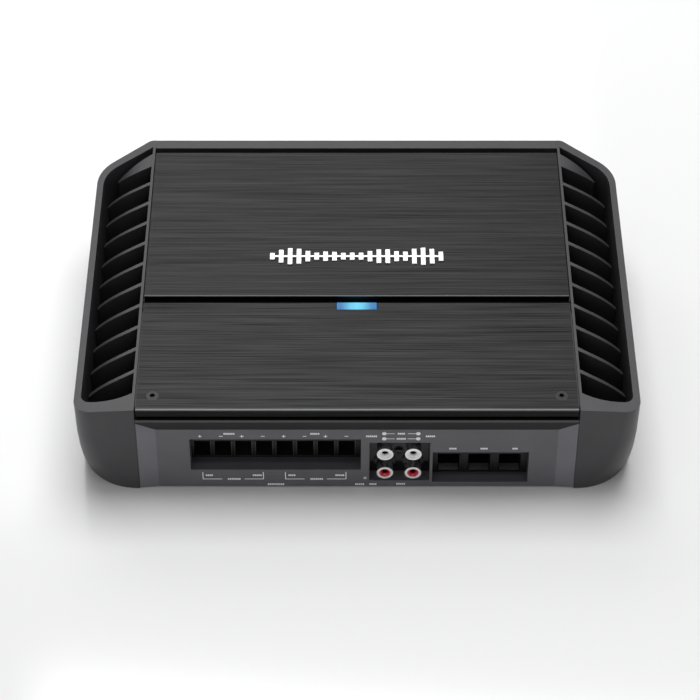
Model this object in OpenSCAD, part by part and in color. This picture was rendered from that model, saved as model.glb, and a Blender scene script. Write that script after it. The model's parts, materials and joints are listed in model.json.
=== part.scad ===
// Four-channel car amplifier. Two cast heatsinks with curved fins stand left and right of a
// chassis whose top carries a fixed brushed plate and a removable control cover. The wiring
// end has screw terminals for speakers and power and a block of four RCA input jacks.
// The origin is at the middle of the footprint, on the mounting surface. +X right, +Y back.

/* [Body] */
// Overall width over both heatsinks
body_w = 282; // [276:1:290]
// Overall depth over the heatsinks
body_d = 210; // [206:1:216]
// Height of the heatsink rim
rim_h = 57; // [56:0.5:58]
// Half the clear width between the two heatsinks
bay_half = 110.8; // [110.6:0.2:111.6]
// Thickness of the bottom plate
base_t = 1.5; // [1:0.1:2]

/* [Heatsinks] */
// Number of regular fins on each side
fin_count = 10; // [4:1:10]
// Distance from one fin to the next
fin_pitch = 16.05; // [15:0.05:17]
// Thickness of a fin
fin_t = 2.1; // [1.6:0.1:2.6]
// Radius of a fin's curve seen from above
fin_curve_r = 36.5; // [34:0.5:40]
// Radius over which the fin tops fall away towards the rim
fin_shoulder_r = 30; // [28:0.5:34]
// Width of the rim along the side
side_rim_w = 3.4; // [3:0.1:4]
// Wall that carries the heat from the transistors to the fins
spreader_t = 5.4; // [5:0.1:6]
// Front corner radius at the rim
rim_corner_r = 8; // [6:0.5:10]
// Front corner radius at the mounting surface
foot_corner_r = 29; // [20:1:30]
// Diameter of the four mounting holes
mount_hole_d = 5.2; // [4.5:0.1:6]
// Distance between mounting holes from left to right
mount_pitch_x = 250; // [248:0.5:252]
// Distance between mounting holes from front to back
mount_pitch_y = 161; // [160:0.5:162]
// Middle of the mounting holes, measured from the origin
mount_mid_y = -8.5; // [-9:0.5:-8]

/* [Top plates] */
// Half width of the brushed plates
plate_half = 110; // [109:0.1:110.2]
// Top of the control cover
cover_top = 57.4; // [57:0.1:58]
// Top of the fixed rear plate
plate_top = 59.6; // [59:0.1:60.5]
// Sheet thickness of both plates
plate_t = 2; // [1.5:0.1:2.4]
// Front edge of the fixed rear plate
plate_front_y = -23.5; // [-24:0.5:-22]
// Rear edge of the fixed rear plate
plate_rear_y = 91.4; // [88:0.2:92]
// Rear edge of the control cover, in front of the groove
cover_rear_y = -26.3; // [-26.6:0.1:-26]
// Height of the cover's turned-down front lip
lip_h = 4.9; // [4:0.1:5.2]
// Distance of the two cover screws from the middle
cover_screw_x = 102; // [101.5:0.5:102.5]
// Position of the cover screws from front to back
cover_screw_y = -93.2; // [-94:0.2:-92]
// Width of the raised ornament on the rear plate
emblem_w = 91; // [60:1:100]
// Number of bars in the ornament
emblem_bars = 20; // [12:1:24]
// Width of the light bar
light_w = 20.8; // [16:0.2:24]

/* [Wiring end] */
// Plane of the wiring end's face
face_y = -103.4; // [-103.6:0.1:-103]
// Width of the slanted strip at each side of the face
bevel_w = 9.7; // [6:0.1:10]
// Depth by which the middle of the face is set back
bevel_depth = 0.8; // [0.4:0.1:1]
// Number of speaker terminals
speaker_count = 8; // [4:2:8]
// Distance from one speaker terminal to the next
speaker_pitch = 10.5; // [10:0.1:10.6]
// Width of a speaker wire entry
speaker_entry_w = 9.2; // [8:0.1:9.4]
// Height of a speaker wire entry
speaker_entry_h = 11.5; // [10:0.1:12]
// Number of power terminals
power_count = 3; // [2:1:3]
// Distance from one power terminal to the next
power_pitch = 15.6; // [15:0.1:15.8]
// Width of a power wire entry
power_entry_w = 12; // [11:0.1:12.4]
// Height of a power wire entry
power_entry_h = 13; // [11:0.5:14]
// Distance between neighbouring RCA jacks from left to right
rca_pitch_x = 14.2; // [13.8:0.1:14.4]
// Distance between the two rows of RCA jacks
rca_pitch_z = 13.6; // [13.2:0.1:13.8]
// Outer diameter of an RCA jack's metal shell
rca_shell_d = 8.3; // [8.2:0.05:8.4]
// Free length of an RCA jack's metal shell
rca_shell_len = 8; // [7:0.5:9]

/* [Controls] */
// Diameter of a control knob
knob_d = 9; // [7:0.5:9.5]
// Top of the control knobs
knob_top = 51; // [49:0.5:52]
// Top of the control panel
bezel_top = 46.5; // [46:0.5:47]

/* [Hidden] */

$fn = 48;
eps = 0.01;
fit_gap = 0.05;      // radial play of a screw in its own hole
head_recess = 0.1;   // how far a countersunk head sits below its surface
turn_gap = 0.1;      // radial play of a set screw in its thread
thread_gap = 0.3;    // play of a captive screw in the ear that it lifts out of
seam = 0.2;          // gap between pieces that butt together

half_w = body_w / 2;
half_d = body_d / 2;
deck_top = plate_top - 2 * plate_t;
deck_t = 3;
deck_front_y = -31;
emblem_y = 6.5;
emblem_t = 0.6;
light_front_y = deck_front_y - 0.2;
light_mid_y = -28.4;
led_x = [-6, 0, 6];
shelf_z = deck_top - deck_t;
cover_under = cover_top - plate_t;
groove_z = cover_under - seam - 0.3;   // floor of the groove between the two plates
rail_x = bay_half + 1.4;             // outer face of the thin upstanding rail
rear_in_y = 98.3;                    // inner edge of the rear rim
chamfer_in = 27.4;                   // how far the rear chamfer cuts in from the side
chamfer_back = 25.8;                 // how far it cuts in from the back
floor_t = 3;                         // web under the fins
panel_t = 3;
panel_low_z = 0.8;                   // clear of the mounting surface
panel_top = 48.4;
panel_back_y = face_y + panel_t + 0.8;
panel_foot_y = -96;
window_wall = 1.4;
board_z = 6;
board_t = 1.6;
board_top = board_z + board_t;

// window = [low x, high x, low z, high z] in the wiring end's face
speaker_window = [-84.2, 2.0, 13.0, 35.3];
rca_window = [6.3, 36.9, 5.0, 32.9];
power_window = [38.3, 86.9, 3.9, 25.8];
speaker_face_y = face_y + 9.6;       // front of the speaker terminal block
power_face_y = face_y + 7.7;
rca_face_y = face_y + 7.7;
speaker_mid_x = -42;
power_mid_x = 62.4;
speaker_floor_z = speaker_window[2] + 0.4;
power_floor_z = power_window[2] + 0.5;
rca_mid = [21.3, 19.6];
speaker_screw_y = speaker_face_y + 6.5;
power_screw_y = power_face_y + 8.5;
terminal_top_z = bezel_top - 2;
terminal_back_y = -79;

// [x, y] of the rotary controls and of the slide switches
knob_at = [[-84, -56], [-58, -56], [-20, -56], [6, -56]];
slider_at = [[-71, -42], [-7, -42], [52, -50]];

function unit(v) = v / norm(v);

// Centre of a circle of radius r that touches both edges at corner p, towards a and b
function corner_centre(p, a, b, r) =
  let (u = unit(a - p), v = unit(b - p), half = acos(u * v) / 2)
  p + unit(u + v) * r / sin(half);

function arc(c, r, from, to, steps) =
  [for (i = [0 : steps]) c + r * [cos(from + (to - from) * i / steps),
                                 sin(from + (to - from) * i / steps)]];

function speaker_x(i) = speaker_mid_x + (i - (speaker_count - 1) / 2) * speaker_pitch;
function power_x(i) = power_mid_x + (i - (power_count - 1) / 2) * power_pitch;

// Box between two opposite corners
module block(low, high) {
  translate(low)
    cube(high - low);
}

// Upright ring
module ring(r_out, r_in, h) {
  difference() {
    cylinder(r = r_out, h = h);
    translate([0, 0, -1])
      cylinder(r = r_in, h = h + 2);
  }
}

// Cylinder lying along Y, from y0 to y1
module rod_y(x, z, r, y0, y1, sides = 48) {
  translate([x, y1, z])
    rotate([90, 0, 0])
      cylinder(r = r, h = y1 - y0, $fn = sides);
}

// ---------------------------------------------------------------- heatsinks

// Thin slab over a plan outline whose corners are rounded
module outline_slab(points, radii, z) {
  n = len(points);
  for (i = [0 : n - 1])
    translate(concat(
      corner_centre(points[i], points[(i + n - 1) % n], points[(i + 1) % n], radii[i]), [z]))
      cylinder(r = radii[i], h = 0.5, $fn = 64);
}

// Outer form of the right heatsink, or that form with its outer faces moved in by inset.
// A tight front corner at the rim runs out into a wide one at the mounting surface, and
// most of that change is near the bottom.
module heatsink_form(inset = 0) {
  front = face_y + inset;
  widening = foot_corner_r - rim_corner_r;
  side = half_w - inset;
  slab_z = rim_h - 0.5;
  hull()
    for (z = [0, 6, 13, 22, 36, slab_z]) {
      open_front = pow(1 - z / slab_z, 2.5);
      corner_r = rim_corner_r + widening * open_front - inset;
      outline_slab([[bay_half, front],
                    [side, inset + face_y + (face_y + half_d) * (open_front - 1)],
                    [side, half_d - chamfer_back],
                    [half_w - chamfer_in, half_d - inset], [bay_half, half_d - inset]],
                   [0.2, corner_r, 25 - inset, 5, 0.2], z);
    }
}

// Plan of a fin's curved face that starts from the rail at start_y
function fin_face(start_y, steps = 8) =
  let (reach = half_w - 8 - rail_x,
       centre = [half_w - 8, start_y + sqrt(pow(fin_curve_r, 2) - pow(reach, 2))])
  arc(centre, fin_curve_r, 270 - asin(reach / fin_curve_r), 270, steps);

// Plan of the pocket in which the fins stand
module pocket_plan() {
  wall_x = half_w - side_rim_w;
  inner_corner = [wall_x, half_d - chamfer_back - 2.5];
  chamfer_end = [rail_x, half_d - 5.6];
  bend = corner_centre(inner_corner, [wall_x, 0], chamfer_end, 21.5);
  slope = atan2(chamfer_end[1] - inner_corner[1], inner_corner[0] - chamfer_end[0]);
  front = fin_face(-91.2);
  front_y = front[len(front) - 1][1];
  polygon(concat(
    front,
    arc([wall_x - 4.5, front_y + 4.5], 4.5, 270, 360, 6),
    arc(bend, 21.5, 0, 90 - slope, 8),
    [chamfer_end]));
}

// One fin: a curved blade with a rounded free end, standing clear of the outer wall
module fin(start_y) {
  end_x = half_w - 6.3;
  reach = half_w - 8 - rail_x;
  centre = [half_w - 8, start_y + sqrt(pow(fin_curve_r, 2) - pow(reach, 2))];
  end_y = centre[1] - sqrt(pow(fin_curve_r, 2) - pow(end_x - centre[0], 2));
  intersection() {
    translate(concat(centre, [0]))
      ring(fin_curve_r + fin_t / 2, fin_curve_r - fin_t / 2, rim_h, $fn = 180);
    block([rail_x - 1, start_y - 14, 0], [end_x, start_y + 6, rim_h]);
  }
  translate([end_x, end_y, 0])
    cylinder(r = fin_t / 2, h = rim_h);
}

// The wide rear fin, a wedge whose back edge runs along the chamfered rim
module rear_fin() {
  face = fin_face(83.8);
  tip = face[len(face) - 2];
  linear_extrude(rim_h)
    polygon(concat(
      [for (i = [0 : len(face) - 2]) face[i]],
      [tip + [0.6, 1.2], [rail_x - 0.5, half_d - 10.4], [rail_x - 0.5, face[0][1]]]));
}

module fins() {
  first_y = 69.4;
  top_z = rim_h - 0.6;
  intersection() {
    union() {
      for (i = [0 : fin_count - 1])
        fin(first_y - i * fin_pitch);
      rear_fin();
    }
    union() {
      rod_y(rail_x - 0.5, top_z - fin_shoulder_r, fin_shoulder_r, -half_d, half_d, 96);
      block([rail_x - 1, -half_d, 0], [half_w, half_d, top_z - fin_shoulder_r]);
    }
    block([rail_x - 1, -half_d, floor_t - eps], [half_w, half_d, rim_h]);
  }
}

// Ear that takes a control cover screw
module cover_ear() {
  difference() {
    block([cover_screw_x - 4.6, cover_screw_y - 4.6, 39],
          [bay_half - 3, cover_screw_y + 4.6, 49]);
    translate([cover_screw_x, cover_screw_y, 38])
      cylinder(r = cover_screw_r + thread_gap, h = 12);
  }
}

module right_casting() {
  wall_in = rail_x - spreader_t;
  difference() {
    heatsink_form();
    // the chassis stands inside this line
    block([0, -half_d - 1, -1], [bay_half, half_d + 1, rim_h + 1]);
    // fin pocket, which keeps a full wall where the corner widens
    intersection() {
      translate([0, 0, floor_t])
        linear_extrude(rim_h)
          pocket_plan();
      union() {
        heatsink_form(2.6);
        block([0, -half_d, rim_h - 2], [half_w, half_d, rim_h + 1]);
      }
    }
    // step that the bottom plate fits into
    block([bay_half - 1, panel_back_y, -1], [rail_x - 0.6, 100, base_t]);
    // mounting holes
    for (s = [-1, 1])
      translate([mount_pitch_x / 2, mount_mid_y + s * mount_pitch_y / 2, -1])
        cylinder(d = mount_hole_d, h = floor_t + 2);
    for (y = side_screw_y)
      translate([side_screw_x, y, -1])
        cylinder(r = base_screw_r + fit_gap, h = 10);
  }
  difference() {
    union() {
      // spreader wall inside the chassis
      block([wall_in, panel_back_y + seam, base_t],
            [bay_half + eps, rear_in_y - seam, shelf_z]);
      block([wall_in, panel_back_y + seam, shelf_z - eps],
            [bay_half + eps, deck_front_y - seam, cover_under]);
    }
    for (y = side_screw_y)
      translate([side_screw_x, y, -1])
        cylinder(r = base_screw_r + fit_gap, h = 10);
    for (y = deck_screw_y)
      translate([deck_screw_x, y, shelf_z - 8])
        cylinder(r = deck_screw_r + fit_gap, h = 10);
  }
  fins();
  cover_ear();
}

module left_heatsink() {
  color("#3a3b3e")
    mirror([1, 0, 0])
      right_casting();
}

module right_heatsink() {
  color("#3a3b3e")
    right_casting();
}

// ---------------------------------------------------------------- chassis

side_screw_y = [-75, -25, 25, 75];
deck_screw_y = [-10, 35, 80];
side_screw_x = 109;
base_screw_r = 1.4;
base_head_r = 2.2;
deck_screw_x = 108.2;
deck_screw_r = 1;
deck_head_r = 2;
cover_screw_r = 2;
cover_head_r = 3.2;
foot_screw_x = [-70, 70];
panel_screw_x = [-98, 98];

module rear_rail() {
  color("#3a3b3e")
    difference() {
      union() {
        block([-bay_half, 100, base_t], [bay_half, half_d, rim_h]);
        block([-bay_half, rear_in_y, 46], [bay_half, 100 + eps, rim_h]);
        block([-bay_half, 100, 0], [bay_half, half_d, base_t + eps]);
        // ledge under the roof deck
        block([-bay_half + 4.4, 88, 43], [bay_half - 4.4, 100 + eps, 46]);
        // foot over the bottom plate
        for (x = foot_screw_x)
          block([x - 6, 91, base_t], [x + 6, 100 + eps, 8]);
      }
      for (x = foot_screw_x)
        translate([x, 95.5, 0])
          cylinder(r = base_screw_r + fit_gap, h = 7);
    }
}

// Plate over the electronics, which carries the rear top plate
module roof_deck() {
  edge = bay_half - seam;
  color("#202124")
    difference() {
      union() {
        block([-edge, deck_front_y, shelf_z], [edge, 92, deck_top]);
        block([-edge + 5, 90, 46], [edge - 5, 92, shelf_z + eps]);
      }
      // lower under the control cover and in the groove behind it
      block([-edge - 1, deck_front_y - 1, groove_z], [edge + 1, plate_front_y, deck_top + 1]);
      // notch for the light bar
      block([-light_w / 2 - seam, deck_front_y - 1, shelf_z - 1],
            [light_w / 2 + seam, cover_rear_y + 0.6, deck_top + 1]);
      for (s = [-1, 1], y = deck_screw_y)
        translate([s * deck_screw_x, y, shelf_z - 1])
          screw_hole(deck_screw_r, deck_head_r, deck_t + 1);
    }
}

// Straight hole with a countersink that opens upwards; the top face is at z = top
module screw_hole(r, head_r, top) {
  translate([0, 0, -1])
    cylinder(r = r + fit_gap, h = top + 2);
  translate([0, 0, top - (head_r - r) - head_recess])
    cylinder(r1 = r + fit_gap, r2 = head_r + head_recess + fit_gap,
             h = head_r - r + head_recess + eps);
}

// Countersunk screw, head at the top, with a hexagon socket; tip at z = 0
module countersunk_screw(r, head_r, length, socket_af) {
  difference() {
    union() {
      cylinder(r = r, h = length);
      translate([0, 0, length - (head_r - r)])
        cylinder(r1 = r, r2 = head_r, h = head_r - r);
    }
    translate([0, 0, length - r * 0.9])
      cylinder(d = socket_af / cos(30), h = r + 1, $fn = 6);
  }
}

module bottom_plate() {
  edge = rail_x - 0.8;
  color("#2b2c2e")
    difference() {
      block([-edge, panel_back_y + seam, 0], [edge, 99.8, base_t]);
      for (p = base_screw_at)
        translate([p[0], p[1], base_t])
          mirror([0, 0, 1])
            screw_hole(base_screw_r, base_head_r, base_t);
    }
}

base_screw_at = concat(
  [for (s = [-1, 1], y = side_screw_y) [s * side_screw_x, y]],
  [for (x = foot_screw_x) [x, 95.5]],
  [for (x = panel_screw_x) [x, panel_foot_y]]);

module base_screws() {
  color("#8d8f92")
    for (p = base_screw_at)
      translate([p[0], p[1], 6.2])
        mirror([0, 0, 1])
          countersunk_screw(base_screw_r, base_head_r, 6.2 - head_recess, 1.6);
}

module deck_screws() {
  color("#8d8f92")
    for (s = [-1, 1], y = deck_screw_y)
      translate([s * deck_screw_x, y, deck_top - 7])
        countersunk_screw(deck_screw_r, deck_head_r, 7 - head_recess, 1.2);
}

// ---------------------------------------------------------------- top plates

// Fixed brushed plate with a turned-down edge
module rear_top_plate() {
  color("#2e2f31")
    difference() {
      block([-plate_half, plate_front_y, deck_top], [plate_half, plate_rear_y, plate_top]);
      block([-plate_half + plate_t, plate_front_y + plate_t, deck_top - 1],
            [plate_half - plate_t, plate_rear_y - plate_t, plate_top - plate_t]);
    }
}

// Raised ornament on the rear plate: a row of bars of different length on a base line
module plate_emblem() {
  bar_w = 2.4;
  spine = 0.6;
  least_reach = 2.4;
  most_extra = 4.2;
  step = (emblem_w - bar_w) / (emblem_bars - 1);
  color("#d8d9db")
    translate([0, emblem_y, plate_top]) {
      block([-emblem_w / 2, -spine, 0], [emblem_w / 2, spine, emblem_t]);
      for (i = [0 : emblem_bars - 1]) {
        x = (bar_w - emblem_w) / 2 + i * step;
        reach = least_reach + most_extra * abs(sin(i * 37) * cos(i * 11));
        block([x - bar_w / 2, -reach, 0], [x + bar_w / 2, reach, emblem_t]);
      }
    }
}

// Bonding pads between the deck and the rear plate
module plate_pads() {
  color("#161616")
    for (x = [-60, 0, 60], y = [2, 64])
      block([x - 22, y - 10, deck_top], [x + 22, y + 10, plate_top - plate_t]);
}

// Glowing bar let into the rear edge of the control cover
module light_lens() {
  color("#4fd2f5")
    difference() {
      block([-light_w / 2, light_front_y, shelf_z],
            [light_w / 2, cover_rear_y + 0.3, cover_top + 0.1]);
      for (x = led_x)
        block([x - 1.7, light_mid_y - 1.7, shelf_z - 1],
              [x + 1.7, light_mid_y + 1.7, shelf_z + 1.4]);
    }
}

// Board under the light bar, with three LEDs on it
module light_board() {
  color("#1f5b34") {
    block([-16, deck_front_y + 0.3, shelf_z - board_t], [16, -20, shelf_z]);
    for (x = led_x)
      block([x - 1.5, light_mid_y - 1.5, shelf_z - eps],
            [x + 1.5, light_mid_y + 1.5, shelf_z + 1.2]);
  }
}

// Removable brushed cover over the controls and the terminal screws
module control_cover() {
  color("#2e2f31")
    difference() {
      union() {
        block([-plate_half, face_y, cover_under], [plate_half, cover_rear_y, cover_top]);
        block([-plate_half, face_y, cover_top - lip_h],
              [plate_half, face_y + plate_t, cover_under + eps]);
      }
      // notch around the light bar
      block([-light_w / 2 - seam, light_front_y - seam, cover_under - 1],
            [light_w / 2 + seam, cover_rear_y + 1, cover_top + 1]);
      for (s = [-1, 1])
        translate([s * cover_screw_x, cover_screw_y, cover_under])
          screw_hole(cover_screw_r, cover_head_r, plate_t);
    }
}

// The two screws stay captive in the cover
module cover_screws() {
  color("#1d1e20")
    for (s = [-1, 1])
      translate([s * cover_screw_x, cover_screw_y, 41])
        countersunk_screw(cover_screw_r, cover_head_r, cover_top - head_recess - 41, 2.5);
}

// ---------------------------------------------------------------- wiring end

rail_low_z = 42.2;
rail_end_x = bay_half - seam;

// Seen from the front: what the mitred ends of the rail leave free on the right
module mitre_end() {
  polygon([[rail_end_x + 1, panel_top], [rail_end_x, panel_top],
           [rail_end_x - bevel_w, rail_low_z], [rail_end_x - bevel_w, rail_low_z - 2],
           [rail_end_x + 1, rail_low_z - 2]]);
}

// Dark rail along the top of the wiring end, mitred into the side strips
module front_rail() {
  top = cover_top - lip_h - 1.6;
  nose_y = -half_d;
  root_y = face_y + bevel_depth - 0.05;
  color("#1c1d1f")
    difference() {
      rotate([90, 0, 90])
        translate([0, 0, -rail_end_x])
          linear_extrude(2 * rail_end_x)
            polygon([[root_y, rail_low_z], [nose_y, top - 1], [nose_y, top],
                     [panel_back_y, top], [panel_back_y, panel_top], [root_y, panel_top]]);
      for (s = [-1, 1])
        mirror([s < 0 ? 1 : 0, 0, 0])
          rotate([90, 0, 0])
            translate([0, 0, -panel_back_y])
              linear_extrude(10)
                mitre_end();
    }
}

// Hollow frame around a window, from the face to the front of its terminal block
module window_frame(w, back_y) {
  block([w[0] - window_wall, face_y + bevel_depth, max(w[2] - window_wall, base_t + 0.5)],
        [w[1] + window_wall, back_y, w[3] + window_wall]);
}

module window_cut(w) {
  block([w[0], face_y - 5, w[2]], [w[1], 0, w[3]]);
}

module end_panel() {
  edge = bay_half - seam;
  color("#45454a")
    difference() {
      union() {
        translate([0, 0, panel_low_z])
          linear_extrude(panel_top - panel_low_z)
            polygon([[-edge, face_y], [-edge + bevel_w, face_y + bevel_depth],
                     [edge - bevel_w, face_y + bevel_depth], [edge, face_y],
                     [edge, panel_back_y], [-edge, panel_back_y]]);
        window_frame(speaker_window, speaker_face_y);
        window_frame(rca_window, rca_face_y);
        window_frame(power_window, power_face_y);
        for (x = panel_screw_x)
          block([x - 4.5, face_y + panel_t, base_t], [x + 4.5, -92.5, 8]);
      }
      // flat seat behind the front rail
      rotate([90, 0, 0])
        translate([0, 0, -face_y - bevel_depth])
          linear_extrude(2)
            difference() {
              translate([-rail_end_x, rail_low_z])
                square([2 * rail_end_x, panel_top]);
              mitre_end();
              mirror([1, 0])
                mitre_end();
            }
      window_cut(speaker_window);
      window_cut(rca_window);
      window_cut(power_window);
      for (x = panel_screw_x)
        translate([x, panel_foot_y, 0])
          cylinder(r = base_screw_r + fit_gap, h = 7);
      // seat of the clip indicator
      rod_y(4.15, 7, 0.9 + fit_gap, face_y - 2, face_y + 12, 24);
    }
}

module clip_indicator() {
  color("#d9dde0")
    rod_y(4.15, 7, 0.9, face_y + 0.6, face_y + 7, 24);
}

// Insulating block of screw terminals. Each cell has a wire entry at the front and a
// well above it for the clamping screw.
module terminal_block(window, front_y, low_z, floor_z, centres, entry, well_r, screw_y) {
  difference() {
    union() {
      block([window[0], front_y, low_z], [window[1], terminal_back_y, terminal_top_z]);
      // foot that is soldered to the main board
      block([window[0] + 1, terminal_back_y - 1, board_top],
            [window[1] - 1, terminal_back_y + 5, board_top + 8]);
    }
    for (x = centres) {
      block([x - entry[0] / 2, front_y - 1, floor_z],
            [x + entry[0] / 2, terminal_back_y - 1.6, floor_z + entry[1]]);
      translate([x, screw_y, floor_z + entry[1] - 1])
        cylinder(r = well_r, h = terminal_top_z);
    }
  }
}

// Bent metal clamp that lines a wire entry, with a threaded collar for the set screw
module wire_clamp(x, front_y, floor_z, entry, screw_y, screw_r) {
  top_z = floor_z + entry[1];
  difference() {
    union() {
      block([x - entry[0] / 2, front_y + 0.5, floor_z],
            [x + entry[0] / 2, terminal_back_y - 1.6, top_z]);
      translate([x, screw_y, top_z - eps])
        cylinder(r = screw_r + clamp_wall, h = collar_h);
    }
    block([x - entry[0] / 2 + clamp_wall, front_y - 1, floor_z + clamp_wall],
          [x + entry[0] / 2 - clamp_wall, terminal_back_y, top_z - clamp_wall]);
    translate([x, screw_y, top_z - 2])
      cylinder(r = screw_r + turn_gap, h = collar_h + 4);
  }
}

// Set screw with a slot; lower end at the clamp's top
module set_screw(x, y, low_z, r, length) {
  translate([x, y, low_z])
    difference() {
      cylinder(r = r, h = length);
      translate([-r - 1, -0.4, length - 1.2])
        cube([2 * r + 2, 0.8, 2]);
    }
}

speaker_entry = [speaker_entry_w, speaker_entry_h];
power_entry = [power_entry_w, power_entry_h];
clamp_wall = 0.4;
collar_h = 2.4;
speaker_screw_r = 2;
power_screw_r = 3;

module speaker_block() {
  color("#141415")
    terminal_block(speaker_window, speaker_face_y, board_top, speaker_floor_z,
                   [for (i = [0 : speaker_count - 1]) speaker_x(i)],
                   speaker_entry, speaker_screw_r + clamp_wall + fit_gap, speaker_screw_y);
}

module speaker_clamps() {
  color("#a9abad")
    for (i = [0 : speaker_count - 1])
      wire_clamp(speaker_x(i), speaker_face_y, speaker_floor_z, speaker_entry,
                 speaker_screw_y, speaker_screw_r);
}

module speaker_screw(i) {
  color("#b5b7b9")
    set_screw(speaker_x(i), speaker_screw_y, speaker_floor_z + speaker_entry_h - 0.4,
              speaker_screw_r, 12);
}

module power_block() {
  color("#141415")
    terminal_block(power_window, power_face_y, power_floor_z - 1.4, power_floor_z,
                   [for (i = [0 : power_count - 1]) power_x(i)],
                   power_entry, power_screw_r + clamp_wall + fit_gap, power_screw_y);
}

module power_clamps() {
  color("#a9abad")
    for (i = [0 : power_count - 1])
      wire_clamp(power_x(i), power_face_y, power_floor_z, power_entry,
                 power_screw_y, power_screw_r);
}

module power_screw(i) {
  color("#b5b7b9")
    set_screw(power_x(i), power_screw_y, power_floor_z + power_entry_h - 0.4,
              power_screw_r, 15);
}

// ---------------------------------------------------------------- RCA inputs

function rca_at() =
  [for (z = [1, -1], x = [-1, 1])
    [rca_mid[0] + x * rca_pitch_x / 2, rca_mid[1] + z * rca_pitch_z / 2]];
rca_flange_t = 0.9;
rca_tube_r = 2.9;
rca_collar_r = 5.4;
rca_cell_depth = 8.5;
rca_pin_r = 1.6;
rca_contact_r = 2.1;
rca_contact_y = rca_face_y - 6.9;

// Moulded block behind the jacks, with a round collar and an eight-sided cell for each
module rca_block() {
  cell_r = (rca_tube_r + 0.5) / cos(22.5);
  color("#101011")
    difference() {
      union() {
        block([rca_window[0], rca_face_y, rca_window[2] - 0.5],
              [rca_window[1], terminal_back_y, rca_window[3] + 2]);
        block([rca_window[0] + 1, terminal_back_y - 1, board_top],
              [rca_window[1] - 1, terminal_back_y + 5, board_top + 8]);
        for (p = rca_at())
          rod_y(p[0], p[1], rca_collar_r, rca_face_y - rca_flange_t, rca_face_y + eps);
      }
      for (p = rca_at())
        translate([p[0], rca_face_y + rca_cell_depth, p[1]])
          rotate([90, 0, 0])
            rotate(22.5)
              cylinder(r = cell_r, h = rca_cell_depth + 2, $fn = 8);
      rod_y(rca_mid[0], rca_mid[1], 1.3 + fit_gap, rca_face_y - 2, rca_face_y + 9, 24);
    }
}

// Outer metal shells, one per jack
module rca_shells() {
  color("#d5d6d8")
    for (p = rca_at())
      difference() {
        union() {
          rod_y(p[0], p[1], rca_shell_d / 2, rca_face_y - rca_flange_t - rca_shell_len,
                rca_face_y - rca_flange_t);
          rod_y(p[0], p[1], rca_tube_r + 0.45, rca_face_y - rca_flange_t - eps,
                rca_face_y + rca_cell_depth);
        }
        rod_y(p[0], p[1], rca_tube_r, rca_face_y - 12, rca_face_y + rca_cell_depth + 1);
      }
}

// Coloured insulating sleeve inside a shell, with a flared mouth
module rca_ring(p) {
  front_y = rca_face_y - rca_flange_t - rca_shell_len + 0.3;
  difference() {
    rod_y(p[0], p[1], rca_tube_r - 0.02, front_y, rca_face_y + rca_cell_depth);
    rod_y(p[0], p[1], rca_pin_r + fit_gap, front_y - 1, rca_contact_y + 1, 32);
    rod_y(p[0], p[1], rca_contact_r + fit_gap, rca_contact_y, rca_face_y + 12, 32);
    translate([p[0], front_y - eps, p[1]])
      rotate([-90, 0, 0])
        cylinder(r1 = rca_pin_r + 0.55, r2 = rca_pin_r + fit_gap, h = 0.9, $fn = 32);
  }
}

module rca_rings_white() {
  color("#f4f4f2")
    for (i = [0, 1])
      rca_ring(rca_at()[i]);
}

module rca_rings_red() {
  color("#c3142c")
    for (i = [2, 3])
      rca_ring(rca_at()[i]);
}

// Sprung centre contacts, which grip the plug's pin
module rca_contacts() {
  color("#b89a4a")
    for (p = rca_at())
      difference() {
        rod_y(p[0], p[1], rca_contact_r, rca_contact_y, rca_face_y + rca_cell_depth, 32);
        rod_y(p[0], p[1], rca_pin_r, rca_contact_y - 1, rca_face_y + rca_cell_depth - 1, 32);
      }
}

module rca_screw() {
  color("#2a2b2d")
    difference() {
      union() {
        rod_y(rca_mid[0], rca_mid[1], 2.2, rca_face_y - 1.3, rca_face_y - 0.02);
        rod_y(rca_mid[0], rca_mid[1], 1.3, rca_face_y - 0.5, rca_face_y + 8, 24);
      }
      for (a = [0, 90])
        translate([rca_mid[0], rca_face_y - 1.3, rca_mid[1]])
          rotate([0, a, 0])
            cube([2.6, 1.4, 0.6], center = true);
    }
}

// ---------------------------------------------------------------- controls

knob_collar_r = knob_d / 2 + 0.6;

// Sheet over the controls, with holes for the knobs, the sliders and a screwdriver
module control_panel() {
  low_z = bezel_top - 2;
  color("#1b1c1e")
    difference() {
      block([-96.5, face_y + 6.4, low_z], [96.5, control_rear_y, bezel_top]);
      for (p = knob_at)
        translate([p[0], p[1], low_z - 1])
          cylinder(r = knob_collar_r, h = 4);
      for (p = slider_at)
        block([p[0] - 3, p[1] - 5.5, low_z - 1], [p[0] + 3, p[1] + 5.5, bezel_top + 1]);
      for (i = [0 : speaker_count - 1])
        translate([speaker_x(i), speaker_screw_y, low_z - 1])
          cylinder(r = 3, h = 4);
      for (i = [0 : power_count - 1])
        translate([power_x(i), power_screw_y, low_z - 1])
          cylinder(r = 4.2, h = 4);
    }
}

control_board_z = 34;
control_rear_y = -33.2;

module control_board() {
  color("#1f5b34")
    block([-98, -76, control_board_z], [98, control_rear_y, control_board_z + board_t]);
}

// Header pins between the main board and the control board
module board_link() {
  color("#2a2a2a") {
    block([-14, -39, board_top], [14, -34, board_top + 8]);
    block([-13, -38, board_top + 8 - eps], [13, -35, control_board_z]);
  }
}

// Potentiometer bodies with the shafts that carry the knobs
module potentiometers() {
  low_z = control_board_z + board_t;
  color("#5f6264")
    for (p = knob_at) {
      block([p[0] - 5, p[1] - 5.5, low_z], [p[0] + 5, p[1] + 5.5, low_z + 5]);
      translate([p[0], p[1], low_z + 5 - eps])
        cylinder(r = 1.5, h = 7);
    }
}

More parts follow.
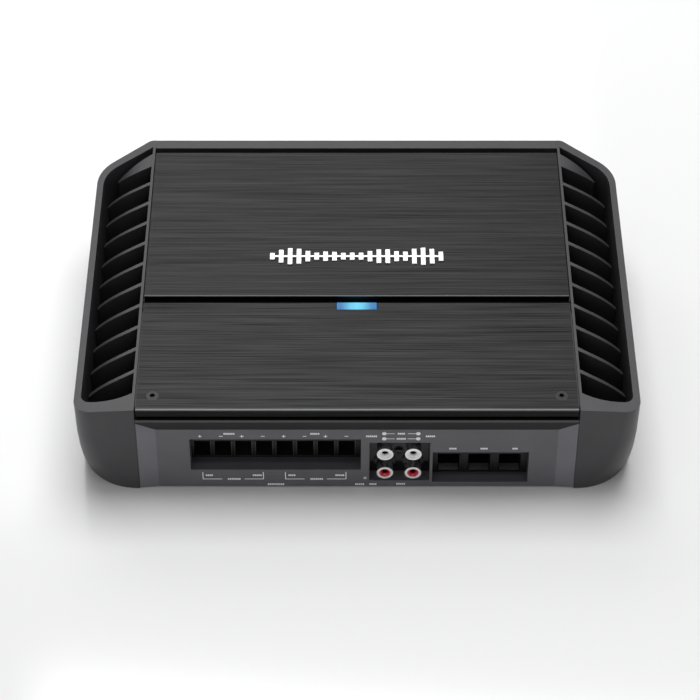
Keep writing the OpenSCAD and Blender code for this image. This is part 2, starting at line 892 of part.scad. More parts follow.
module switch_bodies() {
  low_z = control_board_z + board_t;
  color("#6c6f72")
    for (p = slider_at)
      difference() {
        block([p[0] - 4, p[1] - 8, low_z], [p[0] + 4, p[1] + 8, low_z + 6]);
        block([p[0] - 2.2, p[1] - 5.2, low_z + 2], [p[0] + 2.2, p[1] + 5.2, low_z + 7]);
      }
}

// Rotary knob with a screwdriver slot and a pointer notch
module knob(p) {
  low_z = control_board_z + board_t + 6;
  color("#2c2d2f")
    translate([p[0], p[1], low_z])
      difference() {
        cylinder(d = knob_d, h = knob_top - low_z);
        translate([0, 0, -1])
          cylinder(r = 1.55, h = 7.5);
        translate([-knob_d / 2 + 1.2, -0.5, knob_top - low_z - 1.5])
          cube([knob_d - 2.4, 1, 3]);
        translate([-0.4, knob_d / 2 - 1, knob_top - low_z - 3])
          cube([0.8, 2, 4]);
      }
}

module slider(p) {
  low_z = control_board_z + board_t;
  color("#e6e6e4")
    translate([p[0], p[1], 0]) {
      block([-2, -3, low_z + 2.2], [2, 3, low_z + 5.6]);
      block([-1.6, -1.8, low_z + 5.6 - eps], [1.6, 1.8, bezel_top + 2.4]);
    }
}

// ---------------------------------------------------------------- electronics

board_screw_at = [[-96, -66], [96, -66], [-96, 80], [96, 80], [0, 84]];

module main_board() {
  color("#1f5b34")
    difference() {
      block([-105.4, -92, board_z], [105.4, 88, board_top]);
      // room for the RCA and power blocks, which hang below the board
      block([rca_window[0] - 1, -93, board_z - 1],
            [power_window[1] + 1, terminal_back_y + 0.3, board_top + 1]);
      for (p = board_screw_at)
        translate([p[0], p[1], board_z - 1])
          cylinder(r = 1.5 + fit_gap, h = board_t + 2);
    }
}

// Screws with spacers between the bottom plate and the main board
module board_screws() {
  color("#8d8f92")
    for (p = board_screw_at)
      translate([p[0], p[1], 0]) {
        translate([0, 0, base_t])
          cylinder(r = 3, h = board_z - base_t);
        translate([0, 0, board_z - eps])
          cylinder(r = 1.5, h = board_t + 2 * eps);
        translate([0, 0, board_top])
          cylinder(r = 2.8, h = 2);
      }
}

// Wound ring core lying flat on the board
module wound_ring(r_out, r_in, h) {
  edge = 2.5;
  rotate_extrude()
    polygon([[r_in, edge], [r_in + edge, 0], [r_out - edge, 0], [r_out, edge],
             [r_out, h - edge], [r_out - edge, h], [r_in + edge, h], [r_in, h - edge]]);
}

module power_transformer() {
  color("#a8642b")
    translate([-52, 22, board_top])
      wound_ring(27, 10, 26);
}

module input_choke() {
  color("#a8642b")
    translate([72, -46, board_top])
      wound_ring(15, 6, 16);
}

module output_chokes() {
  color("#a8642b")
    for (x = [-80, -52, -24, 4])
      translate([x, 68, board_top])
        wound_ring(11, 4.5, 12);
}

module storage_capacitors() {
  color("#23346b")
    for (x = [20, 44, 68], y = [-10, 16, 42])
      translate([x, y, board_top])
        cylinder(r = 9, h = 32);
}

transistor_y = [for (i = [0 : 5]) -62 + i * 26];
pad_t = 0.4;
package_t = 4.5;
package_low_z = 14;

module power_transistors() {
  wall = rail_x - spreader_t - pad_t;
  color("#161617")
    for (s = [-1, 1], y = transistor_y)
      mirror([s < 0 ? 1 : 0, 0, 0]) {
        block([wall - package_t, y - 5, package_low_z], [wall, y + 5, package_low_z + 16]);
        for (dy = [-2.5, 0, 2.5])
          block([wall - 2.6, y + dy - 0.4, board_top],
                [wall - 2, y + dy + 0.4, package_low_z + eps]);
      }
}

// Insulating pads between the transistors and the spreader walls
module transistor_pads() {
  wall = rail_x - spreader_t;
  color("#8a8f94")
    for (s = [-1, 1])
      mirror([s < 0 ? 1 : 0, 0, 0])
        difference() {
          block([wall - pad_t, -70, package_low_z - 1], [wall, 76, package_low_z + 18]);
          for (y = clamp_screw_y)
            translate([wall - 1, y, package_low_z + 8])
              rotate([0, 90, 0])
                cylinder(r = 1.5 + fit_gap, h = 2);
        }
}

clamp_screw_y = [for (i = [0 : 4]) transistor_y[i] + 13];
clamp_mid_z = package_low_z + 8;

// Bars that press the transistors against the spreader walls
module transistor_clamps() {
  wall = rail_x - spreader_t - pad_t - package_t;
  color("#77797c")
    for (s = [-1, 1])
      mirror([s < 0 ? 1 : 0, 0, 0])
        difference() {
          block([wall - 3, -70, clamp_mid_z - 4], [wall, 76, clamp_mid_z + 4]);
          for (y = clamp_screw_y)
            translate([wall - 4, y, clamp_mid_z])
              rotate([0, 90, 0])
                cylinder(r = 1.5 + fit_gap, h = 5);
        }
}

// Screws that pull the clamp bars towards the spreader walls
module clamp_screws() {
  wall = rail_x - spreader_t;
  length = pad_t + package_t + 3;
  color("#8d8f92")
    for (s = [-1, 1], y = clamp_screw_y)
      mirror([s < 0 ? 1 : 0, 0, 0])
        translate([wall - length - 2, y, clamp_mid_z])
          rotate([0, 90, 0]) {
            cylinder(r = 2.7, h = 2);
            cylinder(r = 1.5, h = length + 2);
          }
}

// ---------------------------------------------------------------- assembly

left_heatsink();
right_heatsink();
rear_rail();
roof_deck();
bottom_plate();
base_screws();
deck_screws();
rear_top_plate();
plate_emblem();
plate_pads();
light_lens();
light_board();
control_cover();
cover_screws();
front_rail();
end_panel();
clip_indicator();
speaker_block();
speaker_clamps();
power_block();
power_clamps();
rca_block();
rca_shells();
rca_rings_white();
rca_rings_red();
rca_contacts();
rca_screw();
control_panel();
control_board();
board_link();
potentiometers();
switch_bodies();
main_board();
board_screws();
power_transformer();
input_choke();
output_chokes();
storage_capacitors();
power_transistors();
transistor_pads();
transistor_clamps();
clamp_screws();
knob(knob_at[0]);  // front_level_knob
knob(knob_at[1]);  // front_crossover_knob
knob(knob_at[2]);  // rear_level_knob
knob(knob_at[3]);  // rear_crossover_knob
slider(slider_at[0]);  // front_filter_slider
slider(slider_at[1]);  // rear_filter_slider
slider(slider_at[2]);  // input_mode_slider
for (i = [1 : speaker_count])
  speaker_screw(i - 1);
for (i = [1 : power_count])
  power_screw(i - 1);
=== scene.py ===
"""Looks of a car amplifier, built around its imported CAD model.

Lengths are in metres in the model's own frame: +X right, +Y back, +Z up, underside at z = 0.
"""
import json
import math

import bmesh
import bpy
from mathutils import Matrix, Vector


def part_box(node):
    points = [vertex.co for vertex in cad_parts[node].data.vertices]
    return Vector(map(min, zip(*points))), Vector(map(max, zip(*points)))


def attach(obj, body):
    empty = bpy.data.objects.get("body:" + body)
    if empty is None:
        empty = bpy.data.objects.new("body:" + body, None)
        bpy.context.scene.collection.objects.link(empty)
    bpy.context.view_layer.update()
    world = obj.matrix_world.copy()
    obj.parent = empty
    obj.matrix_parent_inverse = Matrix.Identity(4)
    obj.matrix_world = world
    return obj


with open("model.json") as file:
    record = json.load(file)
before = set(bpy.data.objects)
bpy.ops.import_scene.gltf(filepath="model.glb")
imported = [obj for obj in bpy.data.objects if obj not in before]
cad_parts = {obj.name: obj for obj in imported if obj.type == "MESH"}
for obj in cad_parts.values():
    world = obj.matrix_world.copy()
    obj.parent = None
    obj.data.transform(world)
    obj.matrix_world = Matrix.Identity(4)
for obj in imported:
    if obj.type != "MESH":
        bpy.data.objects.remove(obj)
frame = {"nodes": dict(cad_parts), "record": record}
bpy.context.view_layer.update()
nodes = frame["nodes"]
MM = 0.001
ROOT = "amplifier"
STRIP_WIDTH = 9.7 * MM
BEVEL_DEPTH = 0.8 * MM
PRINT = 0.04 * MM


# ---------------------------------------------------------------- material helpers

def start_material(name):
    """New material, with its node tree and its shader."""
    material = bpy.data.materials.new(name)
    material.use_nodes = True
    tree = material.node_tree
    return material, tree, tree.nodes["Principled BSDF"]


def pattern(tree, size, stretch=(1, 1, 1), detail=3.0, shift=0.0):
    """Noise in object space with features about size metres across, longer along stretched axes."""
    place = tree.nodes.new("ShaderNodeTexCoord")
    mapping = tree.nodes.new("ShaderNodeMapping")
    mapping.inputs["Scale"].default_value = [1 / (size * s) for s in stretch]
    mapping.inputs["Location"].default_value = (shift, shift, shift)
    noise = tree.nodes.new("ShaderNodeTexNoise")
    noise.inputs["Scale"].default_value = 1.0
    noise.inputs["Detail"].default_value = detail
    tree.links.new(place.outputs["Object"], mapping.inputs["Vector"])
    tree.links.new(mapping.outputs["Vector"], noise.inputs["Vector"])
    return noise.outputs["Fac"]


def blend_values(tree, first, second, share):
    """Mix of two patterns: share of the second."""
    mix = tree.nodes.new("ShaderNodeMix")
    mix.data_type = "FLOAT"
    mix.inputs["Factor"].default_value = share
    tree.links.new(first, mix.inputs["A"])
    tree.links.new(second, mix.inputs["B"])
    return mix.outputs["Result"]


def tint(tree, value, dark, light, socket, low=0.35, high=0.65):
    """Colours a socket from dark to light as value goes from low to high."""
    ramp = tree.nodes.new("ShaderNodeValToRGB")
    ramp.color_ramp.elements[0].position = low
    ramp.color_ramp.elements[0].color = (*dark, 1)
    ramp.color_ramp.elements[1].position = high
    ramp.color_ramp.elements[1].color = (*light, 1)
    tree.links.new(value, ramp.inputs["Fac"])
    tree.links.new(ramp.outputs["Color"], socket)


def spread(tree, value, low, high, socket):
    """Feeds a socket with a number that runs from low to high with the pattern."""
    scale = tree.nodes.new("ShaderNodeMapRange")
    scale.inputs["From Min"].default_value = 0.3
    scale.inputs["From Max"].default_value = 0.7
    scale.inputs["To Min"].default_value = low
    scale.inputs["To Max"].default_value = high
    tree.links.new(value, scale.inputs["Value"])
    tree.links.new(scale.outputs["Result"], socket)


def relief(tree, value, depth, shader):
    """Bump of the given depth in metres."""
    bump = tree.nodes.new("ShaderNodeBump")
    bump.inputs["Strength"].default_value = 1.0
    bump.inputs["Distance"].default_value = depth
    tree.links.new(value, bump.inputs["Height"])
    tree.links.new(bump.outputs["Normal"], shader.inputs["Normal"])


def surface(name, dark, light, rough, size, depth, metal=0.0, specular=0.5,
            stretch=(1, 1, 1), patch=0.02, coat=0.0):
    """Material with fine grain in its relief and gloss, and broad faint patches in its colour."""
    material, tree, shader = start_material(name)
    fine = pattern(tree, size, stretch, detail=4.0)
    broad = pattern(tree, patch, detail=3.0, shift=7.3)
    tint(tree, blend_values(tree, fine, broad, 0.5), dark, light, shader.inputs["Base Color"])
    spread(tree, blend_values(tree, fine, broad, 0.6), rough[0], rough[1],
           shader.inputs["Roughness"])
    relief(tree, fine, depth, shader)
    shader.inputs["Metallic"].default_value = metal
    shader.inputs["Specular IOR Level"].default_value = specular
    shader.inputs["Coat Weight"].default_value = coat
    shader.inputs["Coat Roughness"].default_value = 0.15
    return material


def grey(value, tone=(1.0, 1.0, 1.0)):
    """Grey of the given value, coloured faintly by tone."""
    return tuple(value * t for t in tone)


def brushed(name, dark, light, rough, metal=1.0, tone=(1, 1, 1.03)):
    """Metal brushed along X: long thin scratches of two widths."""
    material, tree, shader = start_material(name)
    hair = pattern(tree, 0.00016, (220, 1, 1), detail=2.0)
    streak = pattern(tree, 0.0006, (110, 1, 1), detail=3.0, shift=3.1)
    both = blend_values(tree, hair, streak, 0.55)
    tint(tree, both, grey(dark, tone), grey(light, tone), shader.inputs["Base Color"],
         low=0.36, high=0.64)
    spread(tree, both, rough[0], rough[1], shader.inputs["Roughness"])
    relief(tree, both, 0.00002, shader)
    shader.inputs["Metallic"].default_value = metal
    shader.inputs["Specular IOR Level"].default_value = 0.3
    return material


def shade_where(material, mask, factor):
    """Multiplies the base colour by factor where the mask socket is 1: painted shade where factor
    is below 1, painted light where it is above.
    """
    tree = material.node_tree
    shader = tree.nodes["Principled BSDF"]
    source = shader.inputs["Base Color"].links[0].from_socket
    mix = tree.nodes.new("ShaderNodeMix")
    mix.data_type = "RGBA"
    mix.blend_type = "MULTIPLY"
    mix.inputs["B"].default_value = (factor, factor, factor, 1)
    tree.links.new(mask(tree), mix.inputs["Factor"])
    tree.links.new(source, mix.inputs["A"])
    tree.links.new(mix.outputs["Result"], shader.inputs["Base Color"])
    return material


def step_mask(tree, output, axis, low, high, both_sides=False):
    """1 where an axis of a texture coordinate is past high, 0 before low."""
    place = tree.nodes.new("ShaderNodeTexCoord")
    split = tree.nodes.new("ShaderNodeSeparateXYZ")
    limit = tree.nodes.new("ShaderNodeMapRange")
    limit.inputs["From Min"].default_value = low
    limit.inputs["From Max"].default_value = high
    tree.links.new(place.outputs[output], split.inputs["Vector"])
    value = split.outputs[axis]
    if both_sides:
        size = tree.nodes.new("ShaderNodeMath")
        size.operation = "ABSOLUTE"
        tree.links.new(value, size.inputs[0])
        value = size.outputs["Value"]
    tree.links.new(value, limit.inputs["Value"])
    return limit.outputs["Result"]


def paint_edge_highlight(material, y, z, width, colour):
    """Painted highlight: a lighter line in the base colour along the edge that runs from side to
    side at (y, z), facing front and up.
    """
    margin = 0.01 * MM
    tree = material.node_tree
    shader = tree.nodes["Principled BSDF"]
    place = tree.nodes.new("ShaderNodeTexCoord")
    along = tree.nodes.new("ShaderNodeVectorMath")
    along.operation = "DOT_PRODUCT"
    along.inputs[1].default_value = (0, -1, 1)
    band = tree.nodes.new("ShaderNodeMath")
    band.operation = "COMPARE"
    band.inputs[1].default_value = z - y - width / 2
    band.inputs[2].default_value = width / 2 + margin
    mix = tree.nodes.new("ShaderNodeMix")
    mix.data_type = "RGBA"
    mix.inputs["B"].default_value = (*colour, 1)
    source = shader.inputs["Base Color"].links[0].from_socket
    tree.links.new(place.outputs["Object"], along.inputs[0])
    tree.links.new(along.outputs["Value"], band.inputs[0])
    tree.links.new(band.outputs["Value"], mix.inputs["Factor"])
    tree.links.new(source, mix.inputs["A"])
    tree.links.new(mix.outputs["Result"], shader.inputs["Base Color"])
    return material


def painted_front_shade_mask(tree):
    """Faces that look to the front, which get painted shade."""
    return step_mask(tree, "Normal", "Y", -0.55, -0.85)


def painted_strip_light_mask(tree):
    """The slanted strips at both ends of the wiring end, which get painted light."""
    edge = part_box("end_panel")[1].x - STRIP_WIDTH
    blur = 0.05 * MM
    return step_mask(tree, "Object", "X", edge - blur, edge + blur, both_sides=True)


def glowing_bar(name):
    """Light bar: pale blue in the middle and deep blue towards both ends."""
    half_length = 0.0105
    material, tree, shader = start_material(name)
    place = tree.nodes.new("ShaderNodeTexCoord")
    split = tree.nodes.new("ShaderNodeSeparateXYZ")
    size = tree.nodes.new("ShaderNodeMath")
    size.operation = "ABSOLUTE"
    ramp = tree.nodes.new("ShaderNodeMapRange")
    ramp.inputs["From Max"].default_value = half_length
    cloud = pattern(tree, 0.004, detail=2.0)
    mixed = blend_values(tree, ramp.outputs["Result"], cloud, 0.18)
    tree.links.new(place.outputs["Object"], split.inputs["Vector"])
    tree.links.new(split.outputs["X"], size.inputs[0])
    tree.links.new(size.outputs["Value"], ramp.inputs["Value"])
    tint(tree, mixed, (0.12, 0.70, 0.97), (0.0, 0.17, 0.42), shader.inputs["Emission Color"],
         low=0.02, high=0.75)
    tint(tree, mixed, (0.05, 0.25, 0.35), (0.0, 0.06, 0.18), shader.inputs["Base Color"])
    shader.inputs["Emission Strength"].default_value = 0.6
    shader.inputs["Roughness"].default_value = 0.25
    return material


def circuit_board(name):
    """Solder mask with darker copper tracks below it."""
    material, tree, shader = start_material(name)
    tracks = tree.nodes.new("ShaderNodeTexBrick")
    place = tree.nodes.new("ShaderNodeTexCoord")
    mapping = tree.nodes.new("ShaderNodeMapping")
    mapping.inputs["Scale"].default_value = (70, 70, 70)
    tree.links.new(place.outputs["Object"], mapping.inputs["Vector"])
    tree.links.new(mapping.outputs["Vector"], tracks.inputs["Vector"])
    tracks.inputs["Scale"].default_value = 6.0
    tracks.inputs["Color1"].default_value = (0.012, 0.075, 0.035, 1)
    tracks.inputs["Color2"].default_value = (0.016, 0.10, 0.045, 1)
    tracks.inputs["Mortar"].default_value = (0.03, 0.16, 0.07, 1)
    tree.links.new(tracks.outputs["Color"], shader.inputs["Base Color"])
    fine = pattern(tree, 0.0006)
    spread(tree, fine, 0.25, 0.4, shader.inputs["Roughness"])
    relief(tree, tracks.outputs["Fac"], 0.00004, shader)
    return material


def wound_wire(name):
    """Copper wire wound round a ring: fine ridges that run across it."""
    material, tree, shader = start_material(name)
    wires = pattern(tree, 0.0009, (1, 1, 30), detail=1.0)
    broad = pattern(tree, 0.01, shift=2.0)
    tint(tree, blend_values(tree, wires, broad, 0.3), (0.16, 0.05, 0.015), (0.55, 0.24, 0.09),
         shader.inputs["Base Color"])
    spread(tree, wires, 0.2, 0.4, shader.inputs["Roughness"])
    relief(tree, wires, 0.0003, shader)
    shader.inputs["Metallic"].default_value = 0.7
    return material


# ---------------------------------------------------------------- materials by slot

# faint tones for grey()
COOL = (1.0, 0.99, 1.07)
VIOLET = (1.0, 0.97, 1.09)

MATERIALS = {
    "cast_body": surface("cast_body", grey(0.036, COOL), grey(0.052, COOL), (0.38, 0.48),
                         0.00035, 0.000016, specular=0.42),
    "dark_sheet": surface("dark_sheet", grey(0.012), grey(0.018), (0.45, 0.6), 0.0004, 0.00001),
    "zinc_steel": surface("zinc_steel", grey(0.16), grey(0.24), (0.45, 0.6), 0.0003, 0.000005,
                          metal=1.0),
    # brushed plate: base colour of faces that look to the front cut to 0.35 as painted shade
    "brushed_plate": shade_where(brushed("brushed_plate", 0.006, 0.040, (0.28, 0.42), metal=0.8),
                                 painted_front_shade_mask, 0.35),
    "emblem_metal": surface("emblem_metal", grey(0.75), grey(0.9), (0.2, 0.3), 0.0004, 0.000004,
                            metal=0.6),
    "foam_pad": surface("foam_pad", grey(0.012), grey(0.03), (0.8, 0.95), 0.0008, 0.0002),
    "light_bar": glowing_bar("light_bar"),
    "circuit_board": circuit_board("circuit_board"),
    "black_steel": surface("black_steel", grey(0.012), grey(0.02), (0.25, 0.4), 0.0003, 0.000006,
                           metal=0.3),
    "dark_rail": surface("dark_rail", grey(0.004), grey(0.007), (0.30, 0.38), 0.0004, 0.000008,
                         specular=0.2),
    # wiring panel: base colour of the slanted end strips raised by 1.4 as painted light
    "wiring_panel": shade_where(surface("wiring_panel", grey(0.095, VIOLET),
                                        grey(0.118, VIOLET), (0.40, 0.5), 0.0004, 0.00001),
                                painted_strip_light_mask, 1.4),
    "indicator_lens": surface("indicator_lens", grey(0.5), grey(0.6), (0.1, 0.2), 0.0005, 0.0),
    "black_plastic": surface("black_plastic", grey(0.004), grey(0.007), (0.34, 0.45), 0.0003,
                             0.000006),
    "nickel_clamp": surface("nickel_clamp", grey(0.10), grey(0.17), (0.4, 0.5), 0.0003, 0.00001,
                            metal=1.0),
    "power_clamp": surface("power_clamp", grey(0.05), grey(0.09), (0.4, 0.5), 0.0003, 0.00001,
                           metal=1.0),
    "tray_metal": surface("tray_metal", grey(0.42), grey(0.58), (0.3, 0.4), 0.0003, 0.00001,
                          metal=1.0),
    "gloss_black_plastic": surface("gloss_black_plastic", grey(0.006), grey(0.009), (0.10, 0.2),
                                   0.0005, 0.000002),
    "nickel_shell": surface("nickel_shell", grey(0.82), grey(0.92), (0.2, 0.3), 0.0003, 0.000003,
                            metal=1.0),
    "white_plastic": surface("white_plastic", grey(0.93), grey(0.97), (0.25, 0.35), 0.0004,
                             0.000003, coat=0.4),
    "red_plastic": surface("red_plastic", (0.55, 0.010, 0.03), (0.68, 0.016, 0.045), (0.2, 0.3),
                           0.0004, 0.000003, coat=0.4),
    # contact brass: darkened well below the colour of brass, as painted shade in the deep bores of
    # the input jacks
    "contact_brass": surface("contact_brass", (0.12, 0.09, 0.04), (0.2, 0.15, 0.06), (0.3, 0.4),
                             0.0003, 0.000004, metal=1.0),
    "control_plastic": surface("control_plastic", grey(0.012), grey(0.018), (0.5, 0.6), 0.0003,
                               0.00002),
    "pot_metal": surface("pot_metal", grey(0.3), grey(0.4), (0.3, 0.4), 0.0003, 0.000006,
                         metal=1.0),
    "wound_copper": wound_wire("wound_copper"),
    "capacitor_sleeve": surface("capacitor_sleeve", (0.01, 0.02, 0.09), (0.014, 0.03, 0.13),
                                (0.2, 0.3), 0.0008, 0.000006),
    "silicone_pad": surface("silicone_pad", grey(0.10), grey(0.14), (0.6, 0.7), 0.0004, 0.00001),
    "terminal_screw": surface("terminal_screw", grey(0.45), grey(0.6), (0.25, 0.35), 0.0002,
                              0.000006, metal=1.0),
    "knob_plastic": surface("knob_plastic", grey(0.015), grey(0.022), (0.4, 0.5), 0.0003,
                            0.00001),
    "white_print": surface("white_print", grey(0.88), grey(0.96), (0.5, 0.6), 0.0003, 0.0),
}

# painted highlights: lighter lines in the base colour along the front top edges of the cover, the
# rear plate and the front rail
cover_low, cover_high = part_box("control_cover")
paint_edge_highlight(MATERIALS["brushed_plate"], cover_low.y, cover_high.z, 0.8 * MM, grey(0.14))
plate_low, plate_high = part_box("rear_top_plate")
paint_edge_highlight(MATERIALS["brushed_plate"], plate_low.y, plate_high.z, 0.6 * MM, grey(0.09))
rail_low, rail_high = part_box("front_rail")
paint_edge_highlight(MATERIALS["dark_rail"], rail_low.y, rail_high.z, 0.8 * MM, grey(0.09))

# width of the rounded edge on the nodes whose edges catch light
EDGES = {
    "left_heatsink": 0.35, "right_heatsink": 0.35, "rear_rail": 0.35, "rear_top_plate": 0.22,
    "control_cover": 0.5, "front_rail": 0.5, "end_panel": 0.2,
    "light_lens": 0.25, "roof_deck": 0.2, "bottom_plate": 0.15, "speaker_block": 0.12,
    "power_block": 0.15, "control_panel": 0.25,
}


def dress(name, slot):
    """Gives a CAD node its material and, where listed, finely rounded edges."""
    piece = nodes[name]
    piece.data.materials.clear()
    piece.data.materials.append(MATERIALS[slot])
    if name not in EDGES:
        return
    weld = piece.modifiers.new("weld", "WELD")
    weld.merge_threshold = 0.00001
    flatten = piece.modifiers.new("flatten", "DECIMATE")
    flatten.decimate_type = "DISSOLVE"
    flatten.angle_limit = math.radians(0.3)
    bevel = piece.modifiers.new("edges", "BEVEL")
    bevel.width = EDGES[name] * MM
    bevel.segments = 2
    bevel.limit_method = "ANGLE"
    bevel.angle_limit = math.radians(40)
    bevel.use_clamp_overlap = True
    shading = piece.modifiers.new("shading", "WEIGHTED_NORMAL")
    shading.keep_sharp = False
    for face in piece.data.polygons:
        face.use_smooth = True


for part in frame["record"]["subparts"]:
    dress(part["node"], part["material_slot"])


# ---------------------------------------------------------------- printed marks

def add_box(mesh, low, high):
    """Box between two corners, added to a bmesh."""
    centre = (Vector(low) + Vector(high)) / 2
    size = Vector(high) - Vector(low)
    place = Matrix.Translation(centre) @ Matrix.Diagonal((*size, 1))
    bmesh.ops.create_cube(mesh, size=1.0, matrix=place)


def finish_piece(name, mesh, material):
    """Turns a bmesh into a piece that rides on the amplifier itself."""
    data = bpy.data.meshes.new(name)
    mesh.to_mesh(data)
    mesh.free()
    data.materials.append(MATERIALS[material])
    piece = bpy.data.objects.new(name, data)
    bpy.context.collection.objects.link(piece)
    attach(piece, ROOT)


face_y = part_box("end_panel")[0].y + BEVEL_DEPTH


def face_strip(mesh, x0, z0, x1, z1):
    """Printed rectangle on the wiring end's face; sizes in millimetres."""
    add_box(mesh, (x0 * MM, face_y - PRINT, z0 * MM), (x1 * MM, face_y, z1 * MM))


def face_dot(mesh, x, z, radius):
    """Printed disc on the wiring end's face; sizes in millimetres."""
    place = Matrix.Translation((x * MM, face_y - PRINT / 2, z * MM)) @ Matrix.Rotation(
        math.pi / 2, 4, "X")
    bmesh.ops.create_cone(mesh, cap_ends=True, segments=24, radius1=radius * MM,
                          radius2=radius * MM, depth=PRINT, matrix=place)


def speaker_centres():
    """x of the eight speaker terminals, in millimetres."""
    centres = []
    for i in range(1, 9):
        low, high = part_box(f"speaker_screw_{i}")
        centres.append((low.x + high.x) / 2 / MM)
    return centres


def polarity_marks():
    """A plus or a minus above each speaker terminal."""
    mesh = bmesh.new()
    arm, half, z = 0.95, 0.2, 37.6
    for i, x in enumerate(speaker_centres()):
        face_strip(mesh, x - arm, z - half, x + arm, z + half)
        if i % 2 == 0:
            face_strip(mesh, x - half, z + half, x + half, z + arm)
            face_strip(mesh, x - half, z - arm, x + half, z - half)
    finish_piece("polarity_marks", mesh, "white_print")


def pair_brackets():
    """Lines under the terminals that show which ones go together."""
    mesh = bmesh.new()
    line = 0.42
    low_z, high_z = 5.9, 11.2
    gap = 11.4
    centres = speaker_centres()
    for first, last in ((centres[0], centres[3]), (centres[4], centres[7])):
        x0, x1 = first + 0.2, last - 0.1
        middle = (x0 + x1) / 2
        face_strip(mesh, x0, low_z, x0 + line, high_z)
        face_strip(mesh, x1 - line, low_z, x1, high_z)
        face_strip(mesh, x0 + line, low_z, middle - gap / 2, low_z + line)
        face_strip(mesh, middle + gap / 2, low_z, x1 - line, low_z + line)
    finish_piece("pair_brackets", mesh, "white_print")


def input_lines():
    """Two rows of dots and lines above the input jacks."""
    mesh = bmesh.new()
    left, right, line = 13.7, 30.7, 0.34
    dot, start, end = 1.15, 1.1, 5.2
    for z in (39.5, 35.8):
        for x in (left, right):
            face_dot(mesh, x, z, dot)
        face_strip(mesh, left + start, z - line / 2, left + end, z + line / 2)
        face_strip(mesh, right - end, z - line / 2, right - start, z + line / 2)
    finish_piece("input_lines", mesh, "white_print")


def word_bars():
    """Rows of small blocks where printed words would be; they spell nothing."""
    mesh = bmesh.new()
    step, block_w, block_h = 0.95, 0.72, 0.6
    # centre x, centre z and number of blocks of each row
    rows = [(-64.1, 39.4, 6), (-21.1, 39.4, 5), (-75.1, 8.9, 4), (-50.7, 8.9, 5),
            (-62.5, 6.1, 7), (-33.1, 8.9, 4), (-8.7, 8.9, 5), (-20.5, 6.1, 7),
            (-41.3, 2.2, 9), (1.4, 2.2, 5), (8.2, 2.2, 4), (22.4, 2.4, 5), (7.3, 37.6, 6),
            (36.8, 37.6, 5), (22.2, 39.5, 4), (22.2, 35.8, 5), (48.3, 28.6, 4), (64.0, 28.6, 4),
            (79.6, 28.6, 3)]
    for middle, z, count in rows:
        for k in range(count):
            x = middle + (k - (count - 1) / 2) * step
            face_strip(mesh, x - block_w / 2, z - block_h, x + block_w / 2, z + block_h)
    finish_piece("word_bars", mesh, "white_print")


def dial_scales():
    """Tick marks round each dial on the control panel, a longer one at every fifth."""
    mesh = bmesh.new()
    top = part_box("control_panel")[1].z
    ticks, first, last = 11, -140, 140
    inner, short, long, width = 5.7 * MM, 6.8 * MM, 7.6 * MM, 0.35 * MM
    for name in ("front_level_knob", "front_crossover_knob", "rear_level_knob",
                 "rear_crossover_knob"):
        low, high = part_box(name)
        middle = (low + high) / 2
        for step in range(ticks):
            turn = math.radians(first + (last - first) / (ticks - 1) * step)
            outer = long if step % 5 == 0 else short
            place = (Matrix.Translation((middle.x, middle.y, top))
                     @ Matrix.Rotation(-turn, 4, "Z")
                     @ Matrix.Translation((0, (inner + outer) / 2, 0))
                     @ Matrix.Diagonal((width, outer - inner, PRINT, 1)))
            bmesh.ops.create_cube(mesh, size=1.0, matrix=place)
    finish_piece("dial_scales", mesh, "white_print")


def wire_trays():
    """Serrated metal plate on the floor of each power wire entry."""
    mesh = bmesh.new()
    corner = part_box("power_clamps")[0]
    front, floor_z = corner.y + 0.15 * MM, corner.z + 0.62 * MM
    rib, depth, half, ribs = 0.9 * MM, 0.35 * MM, 5.1 * MM, 5
    valley = 0.15 * MM
    for i in range(1, 4):
        low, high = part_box(f"power_screw_{i}")
        x = (low.x + high.x) / 2
        for k in range(ribs):
            y0 = front + k * rib
            ridge = [(y0, floor_z), (y0 + rib, floor_z), (y0 + rib, floor_z + valley),
                     (y0 + rib / 2, floor_z + depth), (y0, floor_z + valley)]
            left = [mesh.verts.new((x - half, y, z)) for y, z in ridge]
            right = [mesh.verts.new((x + half, y, z)) for y, z in ridge]
            mesh.faces.new(left[::-1])
            mesh.faces.new(right)
            for a in range(len(ridge)):
                b = (a + 1) % len(ridge)
                mesh.faces.new((left[a], left[b], right[b], right[a]))
    bmesh.ops.recalc_face_normals(mesh, faces=mesh.faces)
    finish_piece("wire_trays", mesh, "tray_metal")


wire_trays()
polarity_marks()
pair_brackets()
input_lines()
word_bars()
dial_scales()


# ---------------------------------------------------------------- floor, light and camera

def make_floor():
    mesh = bmesh.new()
    reach = 12.0
    # a hair below the underside, so that the two don't lie in one plane
    gap = 0.02 * MM
    corners = [mesh.verts.new((x * reach, y * reach, -gap)) for x, y in
               ((-1, -1), (1, -1), (1, 1), (-1, 1))]
    mesh.faces.new(corners)
    data = bpy.data.meshes.new("floor")
    mesh.to_mesh(data)
    mesh.free()
    material, tree, shader = start_material("floor_white")
    shader.inputs["Base Color"].default_value = (0.93, 0.93, 0.935, 1)
    shader.inputs["Roughness"].default_value = 0.10
    shader.inputs["Specular IOR Level"].default_value = 0.5
    data.materials.append(material)
    floor = bpy.data.objects.new("floor", data)
    bpy.context.collection.objects.link(floor)


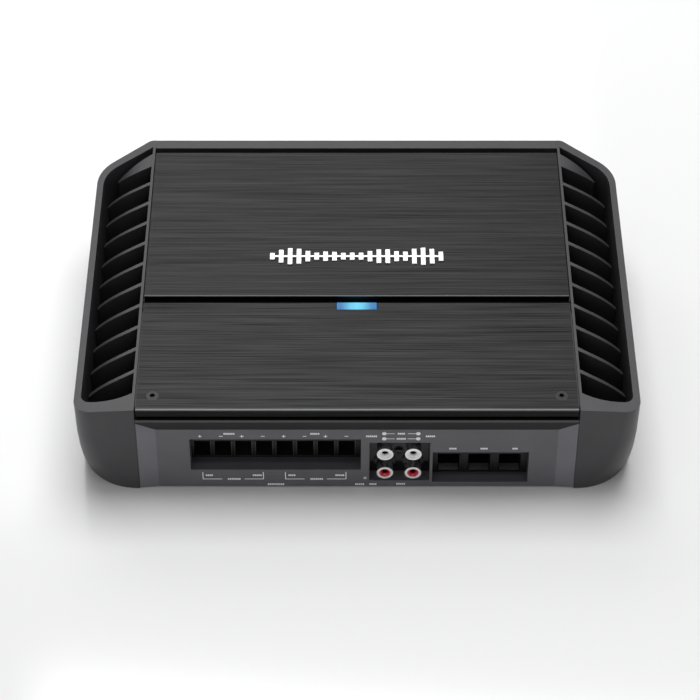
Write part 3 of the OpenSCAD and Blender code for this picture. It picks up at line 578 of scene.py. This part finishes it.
def area_light(name, place, target, size, power):
    data = bpy.data.lights.new(name, "AREA")
    data.shape = "RECTANGLE"
    data.size, data.size_y = size
    data.energy = power
    light = bpy.data.objects.new(name, data)
    light.location = place
    aim = Vector(target) - Vector(place)
    light.rotation_euler = aim.to_track_quat("-Z", "Y").to_euler()
    bpy.context.collection.objects.link(light)


make_floor()
area_light("overhead", (0.12, 0.5, 1.8), (0.1, 0.3, 0), (1.2, 1.2), 28)
area_light("back_box", (-0.45, 1.5, 1.3), (0, 0, 0.05), (1.6, 0.7), 8)
area_light("edge_strip", (0.0, -0.45, 1.5), (0, 0, 0.05), (2.0, 0.06), 2.2)
area_light("front_fill", (-0.5, -1.6, 0.8), (0, 0, 0.03), (1.4, 0.8), 2.0)

world = bpy.data.worlds.new("studio")
bpy.context.scene.world = world
world.use_nodes = True
background = world.node_tree.nodes["Background"]
background.inputs["Color"].default_value = (1.0, 1.0, 1.0, 1)
# pale walls all around, and a dimmer ceiling
direction = world.node_tree.nodes.new("ShaderNodeTexCoord")
height = world.node_tree.nodes.new("ShaderNodeSeparateXYZ")
glow = world.node_tree.nodes.new("ShaderNodeMapRange")
glow.inputs["From Min"].default_value = 0.05
glow.inputs["From Max"].default_value = 0.45
glow.inputs["To Min"].default_value = 0.95
glow.inputs["To Max"].default_value = 0.12
world.node_tree.links.new(direction.outputs["Generated"], height.inputs["Vector"])
world.node_tree.links.new(height.outputs["Z"], glow.inputs["Value"])
world.node_tree.links.new(glow.outputs["Result"], background.inputs["Strength"])

CAMERA_HEIGHT_ANGLE = 44.5
camera_data = bpy.data.cameras.new("camera")
camera_data.sensor_width = 36
camera_data.lens = 130.1
camera_data.clip_end = 50
camera = bpy.data.objects.new("camera", camera_data)
camera.location = (-0.0035, -0.9763, 0.9568)
camera.rotation_euler = (math.radians(90 - CAMERA_HEIGHT_ANGLE), 0, 0)
bpy.context.collection.objects.link(camera)
bpy.context.scene.camera = camera
bpy.context.scene.view_settings.view_transform = "Standard"

bpy.context.view_layer.update()
